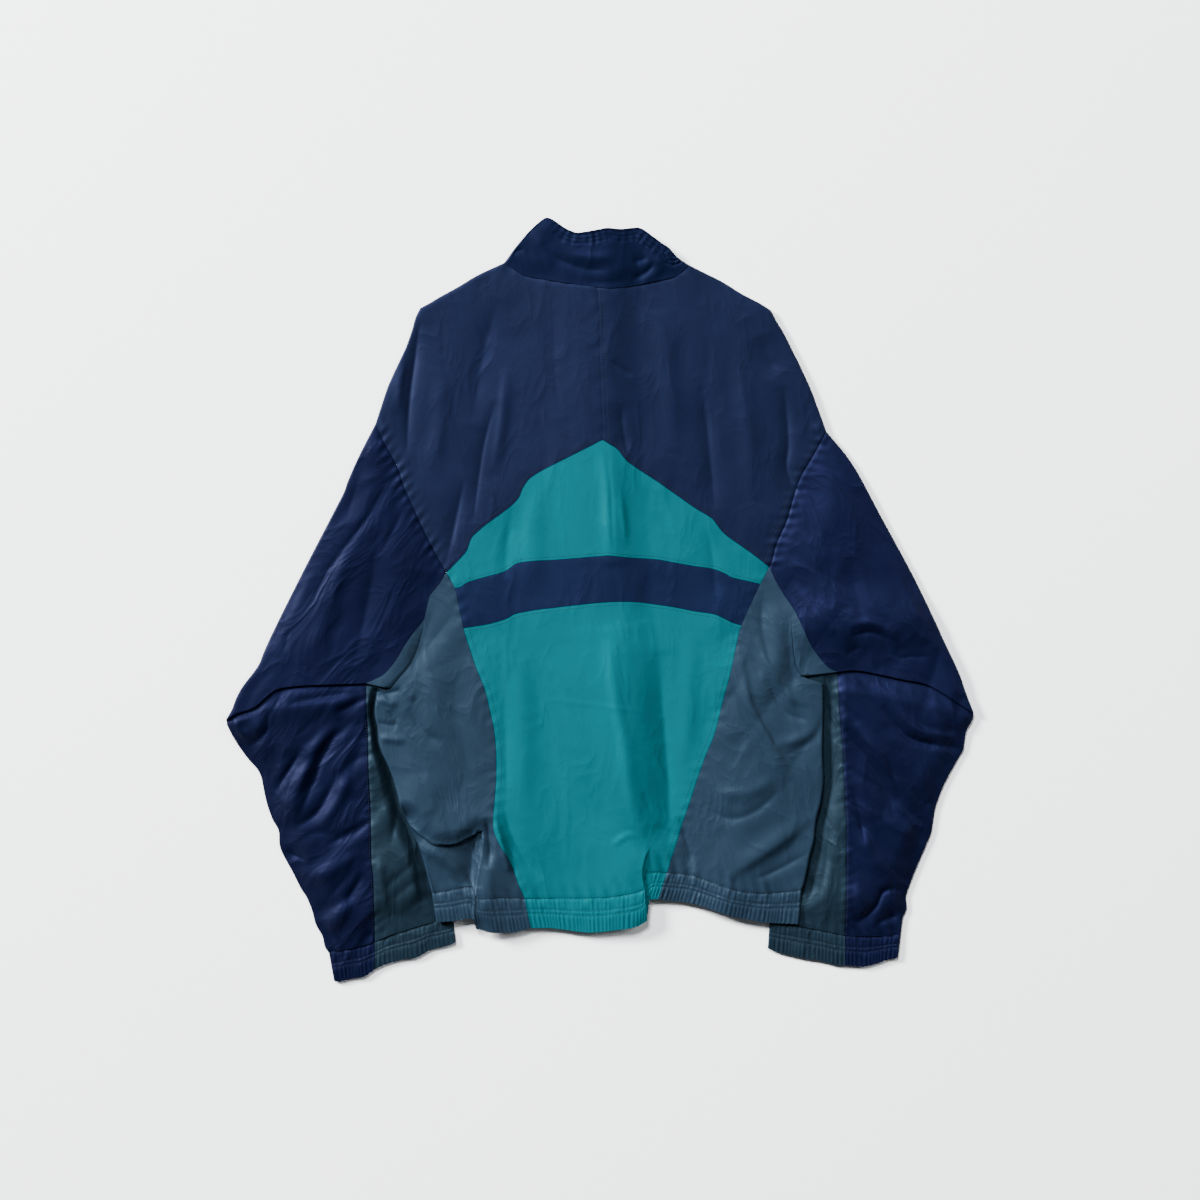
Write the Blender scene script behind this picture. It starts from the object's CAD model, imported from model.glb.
"""Looks of a nylon track jacket, laid flat on its front with its sleeves folded in at the elbows.

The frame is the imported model's: metres, +Z up, +Y towards the collar, +X to the right as the jacket is
seen from above. Shapes are worked out in millimetres here and become metres where a mesh is made.
"""
import math

import bpy
import numpy as np
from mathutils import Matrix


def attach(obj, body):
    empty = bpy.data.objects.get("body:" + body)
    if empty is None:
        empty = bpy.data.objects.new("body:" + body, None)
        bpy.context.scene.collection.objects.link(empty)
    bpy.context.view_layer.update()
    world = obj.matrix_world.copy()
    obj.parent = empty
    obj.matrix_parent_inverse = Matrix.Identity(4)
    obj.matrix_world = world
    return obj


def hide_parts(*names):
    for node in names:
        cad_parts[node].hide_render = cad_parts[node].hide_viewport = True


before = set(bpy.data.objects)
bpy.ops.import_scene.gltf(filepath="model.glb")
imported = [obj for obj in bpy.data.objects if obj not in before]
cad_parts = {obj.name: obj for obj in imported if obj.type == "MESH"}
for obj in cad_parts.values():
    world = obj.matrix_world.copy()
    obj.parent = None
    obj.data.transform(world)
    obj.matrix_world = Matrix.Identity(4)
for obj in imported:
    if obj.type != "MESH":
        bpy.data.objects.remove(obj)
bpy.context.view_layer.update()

# ==== Back yokes ====
# The upper back in two halves of navy nylon taffeta, joined down the middle with a double row of
# stitching. Each half goes over its shoulder, folds there and comes back underneath to the front's seam.
NECK = {
    "left": [(-102, 358), (-92, 351), (-78, 343.5), (-59, 340), (-37, 336), (-12, 333), (-3, 331.5)],
    "right": [(95, 355.5), (80, 343.5), (58, 338), (34, 333), (11, 330.5), (-3, 331.5)],
}
SHOULDER = {
    "left": [(-102, 358), (-130, 345), (-150, 333), (-170, 322), (-180, 316), (-191, 310)],
    "right": [(95, 355.5), (110, 348), (130, 338), (150, 325.5), (170, 315), (181.5, 307.5)],
}
DROP = {
    "left": [(-191, 310), (-196, 300), (-200, 286), (-206, 269), (-212, 256), (-220, 239), (-226, 225),
             (-231, 210), (-238.5, 187)],
    "right": [(181.5, 307.5), (190, 292), (195, 284), (206, 262), (212, 250), (218, 237), (224, 224),
              (230, 208), (240.5, 179)],
}
ARMHOLE = {
    "left": [(-238.5, 187), (-228, 165), (-216, 143), (-208, 120), (-199, 100), (-188, 76), (-176, 52),
             (-163, 29)],
    "right": [(240.5, 179), (227, 154), (213, 130), (204.6, 106), (198, 83), (187.6, 60), (183, 43),
              (179.7, 35)],
}
CHEVRON_TOP = {
    "left": [(-163, 29), (-150, 42), (-142, 51), (-139, 58), (-136, 66), (-130, 72), (-120, 80.5),
             (-100, 95), (-90, 103.5), (-85, 110), (-82, 118), (-76, 127), (-70, 132), (-60, 138),
             (-50, 143), (-30, 153), (-10, 163), (2.5, 169.6)],
    "right": [(179.7, 35), (160, 50), (140, 64), (130, 72), (120, 85), (115, 89), (100, 98), (80, 112),
              (60, 126), (40, 139), (30, 146), (25, 151), (18, 160), (10, 165), (2.5, 169.6)],
}
CENTRE_BACK = [(-3, 331.5), (-1.5, 290), (0, 242), (2.5, 169.6)]
# what lies under the back: the forearms folded in from the elbows, from each elbow's point to the cuff
ELBOW_LAP = {
    "left": [(-396.8, -127), (-384, -120), (-366, -113), (-349, -98), (-338, -92.5), (-316, -89.5),
             (-291, -88), (-267, -87), (-248, -86)],
    "right": [(396.8, -120), (380.5, -110), (365, -99.6), (345, -89), (320, -84), (295, -78.5),
              (272, -74.5), (252, -76)],
}
HIDDEN_FOREARM = {
    "left": [(-216, -98), (-197, -180), (-178, -260), (-158, -338)],
    "right": [(222, -92), (208, -180), (198, -260), (180, -342)],
}
LIE = 5.6                    # top of the back over the surface, where nothing but the front is under it
OVER_FOREARM = 5.6           # how high the back is carried over a forearm
CLIMB = 62.0                 # distance over which it climbs there
CLIMB_START = {"left": 1.0, "right": 1.7}    # how many such distances before the forearm's edge that starts
LAP_FADE = 22.0              # distance over which a lap dies away at its ends
ZIP_TUNNEL = 5.0             # height that the stiff zip holds the cloth at
FRONT_TUNNEL = (9.0, 27.0, 27.0)   # half width of its level top, and of its foot on the left and the right
BACK_RISE = 4.6              # how far the back rises over it
BACK_TUNNEL = (6.0, 95.0, 44.0)    # the same half widths for that rise
NECK_FRONT = 285.0           # y of the neckline at the zip
ZIP_LEAN, ZIP_BEND = 0.030, 7.5e-5   # how the zip's line leans away below it, and bends
BODY_SIDE = 60.0             # nothing is folded in nearer to the middle than that
EDGE_RADIUS = 2.6            # turn of the cloth round a folded edge, in plan
UNDER_LAP, UNDER_RISE = 0.8, 0.2     # how far an underside runs on past its seam, and rises there
CLOTH_STEP = 2.2             # one step of a cloth grid
YOKE_RETURN = 14.0           # width of the yoke underneath, at the shoulder
YOKE_TURN = 12               # steps in which its direction turns to follow the seams at its two ends
NAVY_SHELL = "#080c1c"

# the back's folds cross its seams: height of a ridge (a trough is below zero), its half widths on the
# left and on the right of its line as one walks along it, and the line
BACK_FOLDS = [
    # left yoke
    (-2.0, 7, 6, [(-190, 303), (-196, 262), (-203, 205), (-205, 150)]),
    (1.0, 4, 6, [(-207, 262), (-212, 230), (-214, 196)]),
    (-1.3, 14, 14, [(-106, 325), (-124, 262), (-137, 182)]),
    (-1.0, 4, 8, [(-109, 216), (-122, 170), (-130, 120), (-135, 75)]),
    (0.9, 7, 5, [(-100, 250), (-104, 190), (-114, 130)]),
    (-1.1, 4, 7, [(-143, 132), (-158, 62), (-165, 37)]),
    (0.8, 9, 9, [(-165, 250), (-172, 180), (-178, 120)]),
    (-0.8, 12, 14, [(-50, 310), (-48, 240), (-40, 190)]),
    # right yoke
    (-1.8, 8, 10, [(108, 232), (117, 150), (122, 92)]),
    (-1.7, 5, 8, [(195, 232), (200, 170), (198, 140), (208, 112), (214, 92)]),
    (-0.9, 14, 14, [(170, 282), (180, 255), (190, 238)]),
    (0.9, 10, 10, [(150, 250), (158, 170), (160, 100)]),
    (1.1, 10, 12, [(66, 315), (74, 230), (80, 150)]),
    (-1.2, 5, 12, [(24, 210), (24, 185), (30, 152)]),
    (-0.7, 3, 4, [(10, 255), (22, 246), (35, 236)]),
    (0.8, 3, 4, [(225, 187), (236, 177), (245, 168)]),
    # chevron and stripe
    (2.2, 14, 8, [(3, 165), (9, 120), (11, 80), (12, 30)]),
    (-0.7, 2.5, 2.5, [(4, 160), (11, 120), (13, 80), (14, 46)]),
    (0.8, 3, 3, [(20, 115), (25, 85), (28, 60)]),
    (-0.9, 3, 5, [(45, 125), (62, 100), (80, 78)]),
    (-1.3, 8, 8, [(-93, 100), (-98, 60), (-101, 20)]),
    (1.6, 14, 12, [(-68, 125), (-72, 60), (-74, 0)]),
    (-1.1, 8, 8, [(114, 80), (120, 40), (124, -12)]),
    # lower back
    (0.8, 2.6, 2.6, [(-101, -35), (-99, -60), (-99, -88)]),
    (0.6, 2.6, 2.6, [(-94, -42), (-93, -60), (-93, -77)]),
    (1.8, 13, 12, [(-86, -25), (-84, -110), (-80, -245)]),
    (-1.2, 7, 8, [(-102, -90), (-100, -150), (-99, -230)]),
    (-3.0, 6, 9, [(-104, -210), (-95, -245), (-80, -275), (-60, -300)]),
    (1.1, 22, 22, [(-32, -40), (-26, -150), (-20, -262)]),
    (1.0, 3, 4, [(10, -262), (30, -248), (45, -252)]),
    (2.6, 9, 7, [(10, -20), (17, -110), (26, -150), (31, -200), (40, -236), (52, -262)]),
    (4.8, 44, 26, [(8, -15), (18, -110), (28, -180), (36, -256)]),
    (0.5, 2, 2, [(19, -18), (23, -32), (25, -47)]),
    (0.5, 2, 2, [(27, -68), (29, -90), (29, -112)]),
    (-4.6, 15, 20, [(62, -45), (68, -130), (73, -200), (74, -268)]),
    (1.3, 9, 9, [(97, -28), (96, -70), (93, -120), (90, -180)]),
    (-0.8, 3, 4, [(44, -203), (50, -214), (56, -227)]),
    (-0.8, 3, 4, [(44, -244), (53, -256), (63, -269)]),
    (-0.7, 3, 4, [(59, -239), (70, -245), (81, -250)]),
    (0.35, 1.8, 2.4, [(-62, -104), (0, -112), (60, -120)]),
    # left side
    (-0.8, 7, 7, [(-184, -12), (-190, -39), (-196, -57), (-203, -71), (-216, -88)]),
    (1.6, 18, 16, [(-176, -38), (-174, -90), (-178, -150)]),
    (1.5, 22, 22, [(-150, -110), (-158, -165), (-166, -215)]),
    (-1.2, 12, 9, [(-174, 0), (-184, -34), (-194, -62), (-210, -92)]),
    (1.8, 4, 4, [(-237, -103), (-225, -108), (-213, -112)]),
    (-2.0, 3, 4, [(-232, -99), (-222, -98), (-213, -96), (-204, -104)]),
    (1.6, 3.5, 4, [(-213, -95), (-203, -99), (-195, -107)]),
    (-1.8, 3, 3, [(-226, -116), (-217, -124), (-218, -140)]),
    (1.8, 5, 4, [(-236, -146), (-222, -147), (-204, -150)]),
    (-2.2, 3, 7, [(-201, -111), (-191, -134), (-166, -154)]),
    (-1.2, 3, 4, [(-238, -128), (-226, -132), (-216, -133)]),
    (3.4, 7, 7, [(-192, -256), (-164, -275), (-140, -298)]),
    (-5.0, 3, 17, [(-136, -240), (-135, -268), (-137, -306)]),
    (-5.0, 4, 4, [(-121, -229), (-118, -246), (-116, -264), (-119, -286)]),
    (2.8, 4, 3, [(-113, -224), (-108, -244), (-102, -264), (-96, -290)]),
    (-2.6, 8, 4, [(-104, -250), (-95, -272), (-88, -304)]),
    # right side
    (-1.2, 9, 9, [(200, -8), (200, -45), (204, -80), (214, -104)]),
    (3.2, 4, 12, [(148, -52), (156, -100), (166, -126), (186, -160), (208, -195)]),
    (-2.6, 9, 4, [(140, -88), (152, -120), (168, -148), (188, -180)]),
    (1.6, 10, 8, [(178, 12), (188, -40), (190, -95)]),
    (-1.8, 5, 5, [(172, 5), (172, -30), (182, -72)]),
    (1.6, 6, 3, [(165, -35), (178, -70), (202, -104), (226, -112)]),
    (-1.8, 4, 5, [(176, -84), (196, -118), (222, -128)]),
    (-1.6, 6, 4, [(112, -222), (140, -232), (168, -222), (196, -196)]),
    (1.4, 7, 7, [(120, -200), (140, -206), (168, -200), (190, -182)]),
    (1.5, 7, 4, [(183, -154), (205, -150), (224, -141), (233, -125)]),
    (-1.0, 3, 4, [(188, -169), (206, -160), (226, -148)]),
    (-0.9, 3, 4, [(159, -58), (165, -68), (171, -82)]),
    (-0.9, 3, 4, [(204, -108), (210, -118), (216, -132)]),
    (3.2, 13, 6, [(128, -295), (150, -283), (172, -269), (200, -250), (226, -224)]),
    (-1.6, 4, 4, [(158, -297), (180, -290), (221, -268)]),
    (-3.0, 4, 6, [(84, -226), (92, -255), (101, -290)]),
]
# laps: the cloth on the left of each line, walking along it, lies over the cloth on its right, higher by
# "height", which falls off over "reach"; its edge rolls down again by "roll". One runs off the cloth at both
# ends, the other "dies" within it
BACK_LAPS = [
    {"edge": [(-206, -233), (-188, -249.5), (-172, -258.5), (-150, -257), (-135, -249), (-125.5, -244),
              (-125, -262), (-130, -290), (-133, -315), (-133, -352)],
     "height": 10.5, "reach": 50, "roll": 5.0, "dies": False},
    {"edge": [(50.5, -354), (47, -307), (45, -288), (49, -270), (56, -256)],
     "height": 4.0, "reach": 45, "roll": 0.8, "dies": True},
]
LAP_FALL = 1.6               # distance over which a lap's edge falls to the cloth below
LAP_ROLL = 9.0               # width of its rolled edge


def ease(t):
    """0 to 1 with level ends: t squared times (3 - 2t)."""
    t = np.clip(t, 0, 1)
    return t * t * (3 - 2 * t)


def cut(line, count):
    """The same line cut into equal steps along its length."""
    line = np.asarray(line, float)
    length = np.r_[0, np.cumsum(np.linalg.norm(np.diff(line, axis=0), axis=1))]
    at = np.linspace(0, length[-1], count + 1)
    return np.stack([np.interp(at, length, line[:, k]) for k in range(line.shape[1])], -1)


def curve(points, step=CLOTH_STEP):
    """A Catmull-Rom curve through the points, in equal steps of about that length."""
    p = np.asarray(points, float)
    if len(p) > 2:
        p = np.vstack([2 * p[0] - p[1], p, 2 * p[-1] - p[-2]])
        t = np.linspace(0, 1, 12, endpoint=False)[:, None]
        runs = [0.5 * (2 * b + (c - a) * t + (2 * a - 5 * b + 4 * c - d) * t ** 2
                       + (3 * b - a - 3 * c + d) * t ** 3)
                for a, b, c, d in zip(p, p[1:], p[2:], p[3:])]
        p = np.vstack(runs + [p[-2:-1]])
    length = np.linalg.norm(np.diff(p, axis=0), axis=1).sum()
    return cut(p, max(2, round(length / step)))


def joined(*lines):
    """Lines end to end; where two share a point it is kept once."""
    parts = [np.asarray(lines[0], float)]
    for line in lines[1:]:
        line = np.asarray(line, float)
        parts.append(line[1:] if np.allclose(parts[-1][-1], line[0], atol=1e-6) else line)
    return np.vstack(parts)


def from_line(line, x, y):
    """Distance off a polyline, above zero on its left, and distance along it, for each point."""
    off, along = np.full(np.shape(x), 1e9), np.zeros(np.shape(x))
    started = 0.0
    for (ax, ay), (bx, by) in zip(line, line[1:]):
        ux, uy = bx - ax, by - ay
        length = math.hypot(ux, uy)
        if length == 0:
            continue
        t = np.clip(((x - ax) * ux + (y - ay) * uy) / length ** 2, 0, 1)
        distance = np.hypot(x - ax - t * ux, y - ay - t * uy)
        nearer = distance < np.abs(off)
        sign = np.where(ux * (y - ay) - uy * (x - ax) < 0, -1.0, 1.0)
        off = np.where(nearer, distance * sign, off)
        along = np.where(nearer, started + t * length, along)
        started += length
    return off, along, started


def near(line, x, y, reach):
    """Which points are in the line's box, widened by the reach."""
    low, high = line.min(0) - reach, line.max(0) + reach
    return (x > low[0]) & (x < high[0]) & (y > low[1]) & (y < high[1])


FOLD_STEP, SEAM_STEP = 7.0, 4.0     # steps of the curves that folds and seams follow
FOLD_REACH, SEAM_REACH = 2.6, 2.4   # how many half widths away they have died away
FADE_SHARE = 0.34                   # share of a fold's line over which it fades at each end
FOLD_TIP = 0.12                     # share of its height that is left there
DIP_WIDTH = 1.5                     # half width of the dip along a seam
PUCKER_SLANT = 0.35                 # how far puckers run along the seam for each millimetre off it


def folds(table, x, y):
    """Sum of ridges and troughs, each with its own width on either side of its line: a ridge is a round
    bell, a trough is pointed as a crease is. Both fade over the first and the last third of the line."""
    total = np.zeros(np.shape(x))
    for height, left, right, points in table:
        line = curve(points, FOLD_STEP)
        close = near(line, x, y, FOLD_REACH * max(left, right))
        if not close.any():
            continue
        off, along, length = from_line(line, x[close], y[close])
        width = np.where(off > 0, left, right)
        share = along / length
        fade = ease(share / FADE_SHARE) * ease((1 - share) / FADE_SHARE)
        q = np.abs(off) / width
        section = np.exp(-q ** 2) if height > 0 else np.exp(0.14 - 1.25 * np.sqrt(q ** 2 + 0.0125))
        total[close] += height * (FOLD_TIP + (1 - FOLD_TIP) * fade) * section * ease(fade * 9)
    return total


LATTICE = 61                        # points of a random lattice each way, before it repeats


def uneven(x, y, size, seed, turn=0.5):
    """Smooth random heights from -1 to 1: a turned lattice of that size, eased between its points."""
    heights = np.random.default_rng(seed).uniform(-1, 1, (LATTICE, LATTICE))
    u = (x * math.cos(turn) + y * math.sin(turn)) / size
    v = (y * math.cos(turn) - x * math.sin(turn)) / size
    i, j = np.floor(u).astype(int), np.floor(v).astype(int)
    fu, fv = ease(u - i), ease(v - j)
    a, b, c, d = (heights[(i + m) % LATTICE, (j + n) % LATTICE] for m, n in ((0, 0), (1, 0), (0, 1), (1, 1)))
    return (a * (1 - fu) + b * fu) * (1 - fv) + (c * (1 - fu) + d * fu) * fv


def crumpled(x, y, size, stretch, way, seed):
    """Rounded bulges with sharp troughs between them, from 0 to 1: the size of smooth random heights that
    are drawn out along one way and bent by a slower unevenness."""
    bent_x, bent_y = (0.5 * size * uneven(x, y, 2.3 * size, seed + k) for k in (50, 51))
    length = math.hypot(*way)
    along = ((x + bent_x) * way[0] + (y + bent_y) * way[1]) / length / stretch
    across = ((y + bent_y) * way[0] - (x + bent_x) * way[1]) / length
    rounding = 0.04 ** 2
    return np.sqrt(uneven(along, across, size, seed, 0.0) ** 2 + rounding)


def ripple(along, pitch, seed):
    """Smooth random heights from -1 to 1 along a line, one for each pitch, up and down by turns."""
    count = 257
    heights = np.random.default_rng(seed).uniform(-1, 1, count)
    heights[::2] = np.abs(heights[::2])
    heights[1::2] = -np.abs(heights[1::2])
    u = along / pitch
    i = np.floor(u).astype(int)
    f = ease(u - i)
    return heights[i % count] * (1 - f) + heights[(i + 1) % count] * f


def seams(table, x, y):
    """Sum over seams of a narrow dip at the line and of puckers that cross it, uneven and dying away."""
    total = np.zeros(np.shape(x))
    for seed, (points, dip, pucker, pitch, left, right) in enumerate(table):
        line = curve(points, SEAM_STEP)
        close = near(line, x, y, SEAM_REACH * max(left, right))
        if not close.any():
            continue
        off, along, _ = from_line(line, x[close], y[close])
        width = np.where(off > 0, left, right)
        cross = ripple(along + PUCKER_SLANT * off, pitch, seed) * np.exp(-(off / width) ** 2)
        total[close] += pucker * cross - dip * np.exp(-(off / DIP_WIDTH) ** 2)
    return total


def centre_front_x(y):
    """The zip's line: straight down to the neckline, then bending away by the square of the distance."""
    down = np.maximum(NECK_FRONT - np.asarray(y, float), 0)
    return ZIP_LEAN * down + ZIP_BEND * down ** 2


def tunnel(x, y, half_widths):
    """The share, from 0 to 1, of a low tunnel's height along the zip: level on its top and down each side."""
    flat_top, left_foot, right_foot = half_widths
    off = x - centre_front_x(y)
    foot = np.where(off < 0, left_foot, right_foot)
    return np.clip((foot - np.abs(off)) / (foot - flat_top), 0, 1)


def front_height(x, y):
    """Underside of the fronts: on the surface, lifted along the middle by the zip."""
    return ZIP_TUNNEL * tunnel(x, y, FRONT_TUNNEL)


def over_forearms(x, y):
    """The body climbs over the forearms folded in under its sides."""
    total = np.zeros(np.shape(x))
    for side, sign in (("left", -1), ("right", 1)):
        close = x * sign > BODY_SIDE
        off = from_line(np.array(ELBOW_LAP[side] + HIDDEN_FOREARM[side]), x[close], y[close])[0]
        total[close] = OVER_FOREARM * ease(CLIMB_START[side] + sign * off / CLIMB)
    return total


def under_height(x, y):
    """Underside of the body."""
    return front_height(x, y) + over_forearms(x, y)


def laps(x, y):
    """Each lap lifts the cloth on its left, less with distance, and rolls down again towards its edge."""
    total = np.zeros(np.shape(x))
    for lap in BACK_LAPS:
        line = curve(lap["edge"], SEAM_STEP)
        off, along, length = from_line(line, x, y)
        start, end = (np.hypot(x - px, y - py) for px, py in (line[0], line[-1]))
        fade = ease(np.minimum(start, end) / LAP_FADE)
        if lap["dies"]:
            fade = fade * ease((length - along) / LAP_FADE)
        lift = ease(1 + off / LAP_FALL) * np.exp(-np.maximum(off, 0) / lap["reach"])
        rolled = lap["roll"] * np.exp(-(np.maximum(off, 0) / LAP_ROLL) ** 2) * ease(1 + off / LAP_FALL)
        total += (lap["height"] * lift - rolled) * fade
    return total


CHEVRON_BOTTOM = [(-154, 12.7), (-148, 14), (-140, 19), (-120, 25), (-105, 29), (-97, 33), (-88, 39),
                  (-70, 41.5), (-50, 42.5), (-30, 44), (0, 46.5), (10, 47), (30, 45), (60, 43),
                  (80, 39.5), (100, 36), (120, 33), (133, 28), (140, 24), (155, 20.5), (170, 17)]
STRIPE_BOTTOM = [(-144.7, -30), (-120, -26), (-105, -22), (-97, -19), (-90, -15), (-70, -11), (-50, -8.5),
                 (-20, -5), (0, -3), (20, -2), (40, -2.5), (60, -5), (80, -8), (100, -12), (120, -15),
                 (130, -19), (140, -24), (150, -27)]
SIDE_SEAM = {
    "left": [(-163, 29), (-154, 12.7), (-150.5, -3), (-144.7, -30), (-138, -52), (-130, -75), (-122, -95),
             (-116, -120), (-112, -140), (-110, -165), (-110, -190), (-111, -205), (-113, -232),
             (-112, -246), (-105, -261), (-98, -272), (-92, -285), (-86, -302), (-80, -316)],
    "right": [(179.7, 35), (170, 17), (150, -27), (144, -50), (138, -78), (130, -108), (122, -140),
              (112, -165), (103, -190), (95, -215), (88, -235), (82, -255), (76, -273), (71, -289)],
}
HEM_LINE = [[(-178.5, -310), (-163, -308), (-149, -305), (-135, -304)],
            [(-131, -314.5), (-105, -315), (-80, -316), (-50, -316), (-3, -315.5), (19, -313), (46, -306.5)],
            [(49, -288), (71, -289), (95, -291.5), (115.5, -298), (143, -307), (170, -310.6), (197, -309),
             (214, -307)]]
# each seam: its line, how deep it lies, its puckers' height and pitch, and their reach on its left and right
BACK_SEAMS = [
    (ARMHOLE["left"], 1.0, 0.9, 5.4, 9, 10),
    (ARMHOLE["right"], 1.0, 0.9, 5.4, 10, 9),
    (CENTRE_BACK, 0.1, 0.22, 9.0, 9, 7),
    (CHEVRON_TOP["left"], 0.08, 0.20, 9.0, 7, 7),
    (CHEVRON_TOP["right"], 0.08, 0.20, 9.0, 7, 7),
    (CHEVRON_BOTTOM, 0.08, 0.16, 8.0, 6, 6),
    (STRIPE_BOTTOM, 0.08, 0.16, 8.0, 6, 6),
    (SIDE_SEAM["left"], 0.15, 0.40, 7.0, 8, 7),
    (SIDE_SEAM["right"], 0.15, 0.40, 7.0, 7, 8),
    (HEM_LINE[0], 0.3, 0.9, 6.5, 14, 4),
    (HEM_LINE[1], 0.3, 0.9, 7.5, 14, 4),
    (HEM_LINE[2], 0.3, 1.1, 6.5, 16, 4),
    (NECK["left"], 0.4, 0.30, 8.0, 6, 6),
    (NECK["right"], 0.4, 0.30, 8.0, 6, 6),
]


BULGE = 38                   # size of the bulges in the back's cloth
SLACK_RISE, CRUSHED_RISE = 0.8, 2.0    # their height all over, and more of it on the lower sides
RIGHT_SINK = 4.2             # how far the lower right side sinks towards its edge
UPPER_FOLDS = 0.7            # how much deeper the folds of the upper back are, as a share


def back_height(x, y):
    """Top of the back: its lie over what is under it, its laps and folds, and a slow unevenness."""
    lie = LIE + BACK_RISE * ease(tunnel(x, y, BACK_TUNNEL)) + over_forearms(x, y) + laps(x, y)
    slow = 0.5 * uneven(x, y, 47, 3) + SLACK_RISE * crumpled(x, y, BULGE, 3.5, (0.15, 1), 5)
    outside = ease((np.abs(x) - 95) / 40) * ease((20 - y) / 60)
    crushed = outside * CRUSHED_RISE * crumpled(x, y, BULGE, 2.6, (1, 1.5), 6)
    away = RIGHT_SINK * ease((x - 120) / 100) * ease((-10 - y) / 50)
    deeper = 1 + UPPER_FOLDS * ease((y + 10) / 50)
    return lie + deeper * folds(BACK_FOLDS, x, y) + seams(BACK_SEAMS, x, y) + slow + crushed - away


def patch(top, end, first, last):
    """A Coons patch in plan: rows run from the first column's line to the last one's."""
    columns, rows = max(len(top), len(end)) - 1, max(len(first), len(last)) - 1
    top, end, first, last = cut(top, columns), cut(end, columns), cut(first, rows), cut(last, rows)
    u = np.linspace(0, 1, columns + 1)[None, :, None]
    v = np.linspace(0, 1, rows + 1)[:, None, None]
    corners = ((1 - u) * (1 - v) * top[0] + u * (1 - v) * top[-1]
               + (1 - u) * v * end[0] + u * v * end[-1])
    return (1 - v) * top[None] + v * end[None] + (1 - u) * first[:, None] + u * last[:, None] - corners


def recut(plan, columns):
    """The plan with each of its rows cut into that many equal steps."""
    return np.stack([cut(row, columns) for row in plan])


def sewn(plan, folded_first=False, by=0.1):
    """The plan with its sewn edges a tenth of a millimetre inside the seam's line."""
    out = plan.copy()
    for edge, beside in ((0, 1), (-1, -2)):
        step = plan[beside] - plan[edge]
        out[edge] += by * step / np.maximum(np.linalg.norm(step, axis=-1), 1e-6)[:, None]
        if edge == 0 and folded_first:
            continue
        step = plan[:, beside] - plan[:, edge]
        out[:, edge] += by * step / np.maximum(np.linalg.norm(step, axis=-1), 1e-6)[:, None]
    return out


def in_space(plan, z):
    """Plan and heights put together as points."""
    return np.concatenate([plan, np.broadcast_to(z, plan.shape[:-1])[..., None]], axis=-1)


def on_cloth(plan, height):
    """A plan's grid, or a line, lifted to that height function."""
    return in_space(plan, height(plan[..., 0], plan[..., 1]))


def folded(top, under, turn_radius=EDGE_RADIUS):
    """A layer that turns round its first column: its top from the last column to the fold, half an
    ellipse from the top's height down to the underside's, and the underside back again. The underside's
    far edge runs a little on, and up, to lie inside the piece that it is sewn to."""
    edge, low = top[:, 0], under[:, 0]
    inward = top[:, 1, :2] - edge[:, :2]
    inward /= np.maximum(np.linalg.norm(inward, axis=1), 1e-6)[:, None]
    across_room = np.linalg.norm(top[:, -1, :2] - edge[:, :2], axis=1)[:, None]
    radius = np.minimum(turn_radius, 0.3 * across_room)
    middle, half = (edge[:, 2] + low[:, 2]) / 2, (edge[:, 2] - low[:, 2]) / 2
    past_turn = radius * 1.05
    inside = np.linalg.norm(top[..., :2] - edge[:, None, :2], axis=2) > past_turn
    turn = []
    for angle in np.radians(np.linspace(90, -90, 9)):
        plan = edge[:, :2] + inward * radius * (1 - math.cos(angle))
        turn.append(np.column_stack([plan, middle + half * math.sin(angle)]))
    under = under.copy()
    step = under[:, -1, :2] - under[:, -2, :2]
    under[:, -1, :2] += UNDER_LAP * step / np.maximum(np.linalg.norm(step, axis=1), 1e-6)[:, None]
    under[:, -1, 2] += UNDER_RISE
    first_kept = int(np.argmax(inside.all(axis=0)))
    under_inside = np.linalg.norm(under[..., :2] - edge[:, None, :2], axis=2) > past_turn
    first_under = int(np.argmax(under_inside.all(axis=0)))
    return np.concatenate([top[:, :first_kept - 1:-1] if first_kept else top[:, ::-1],
                           np.stack(turn, 1), under[:, first_under:]], axis=1)


def thinned(plan, every=4):
    """The plan with only some of its columns, the first and the last always among them."""
    kept = np.unique(np.r_[0:plan.shape[1]:every, plan.shape[1] - 1])
    return plan[:, kept]


def made_of(name, points, material, quads=None):
    """An object with that mesh, in metres, and its material; grid quads if no faces are given. It is
    shaded smooth, but not round its open rims."""
    points = np.asarray(points, float)
    if quads is None:
        rows, columns = points.shape[:2]
        index = np.arange(rows * columns).reshape(rows, columns)
        quads = np.stack([index[:-1, :-1], index[1:, :-1], index[1:, 1:], index[:-1, 1:]], -1).reshape(-1, 4)
        points = points.reshape(-1, 3)
    mesh = bpy.data.meshes.new(name)
    mesh.from_pydata((points * 0.001).tolist(), [], quads.tolist())
    mesh.shade_smooth()
    sides = np.empty(len(mesh.loops), int)
    mesh.loops.foreach_get("edge_index", sides)
    at_rim = np.bincount(sides, minlength=len(mesh.edges)) == 1
    mesh.attributes.new("sharp_edge", "BOOLEAN", "EDGE").data.foreach_set("value", at_rim)
    mesh.materials.append(material)
    piece = bpy.data.objects.new(name, mesh)
    bpy.context.scene.collection.objects.link(piece)
    return piece


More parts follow.
